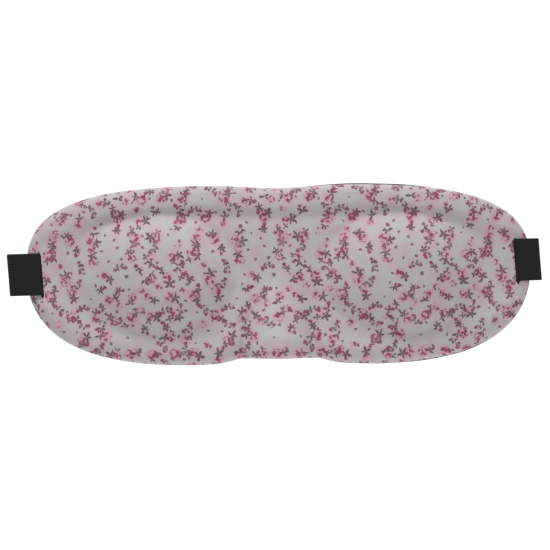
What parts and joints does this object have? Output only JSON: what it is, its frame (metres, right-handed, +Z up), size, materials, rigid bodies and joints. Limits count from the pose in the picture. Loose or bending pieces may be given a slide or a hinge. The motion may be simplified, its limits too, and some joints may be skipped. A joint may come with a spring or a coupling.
{
  "type": "contoured sleep mask",
  "caption": "Moulded foam sleep mask with a rose-printed face cloth, two eye domes, a nose ridge and an adjustable elastic head strap through a slit at each end.",
  "frame": {"origin": "bridge of the nose on the skin side, at the height of the strap's centre line", "axes": "+X across the face towards the adjustable end of the strap, +Y towards the wearer's face, +Z up as worn"},
  "size_m": [0.2536, 0.0568, 0.0841],
  "materials": {
    "face_print": "matte knitted polyester, printed with small pink roses and olive leaves",
    "foam": "dark moulded foam",
    "lining": "soft brushed black cloth",
    "elastic": "black ribbed elastic webbing",
    "slider_plastic": "satin black moulded plastic",
    "thread": "black polyester thread"
  },
  "bodies": {
    "mask": {"face_fabric": "face_print", "foam_shell": "foam", "lining_fabric": "lining", "left_strap_loop": "elastic", "right_strap_loop": "elastic", "left_bartack": "thread"},
    "strap": {"back_strap": "elastic", "strap_return": "elastic"},
    "adjuster": {"slider": "slider_plastic", "slider_loop": "elastic", "slider_bartack": "thread"}
  },
  "joints": [
    {"name": "strap_swing", "type": "hinge", "parent": "mask", "child": "strap", "pos_m": [0, 0.0205, 0], "axis": [1, 0, 0], "range_deg": [-30, 30]},
    {"name": "slider_slide", "type": "slide", "parent": "strap", "child": "adjuster", "axis": [0.9846, -0.1736, 0.0189], "range_m": [0, 0.038], "deforming": ["strap_return"]}
  ]
}
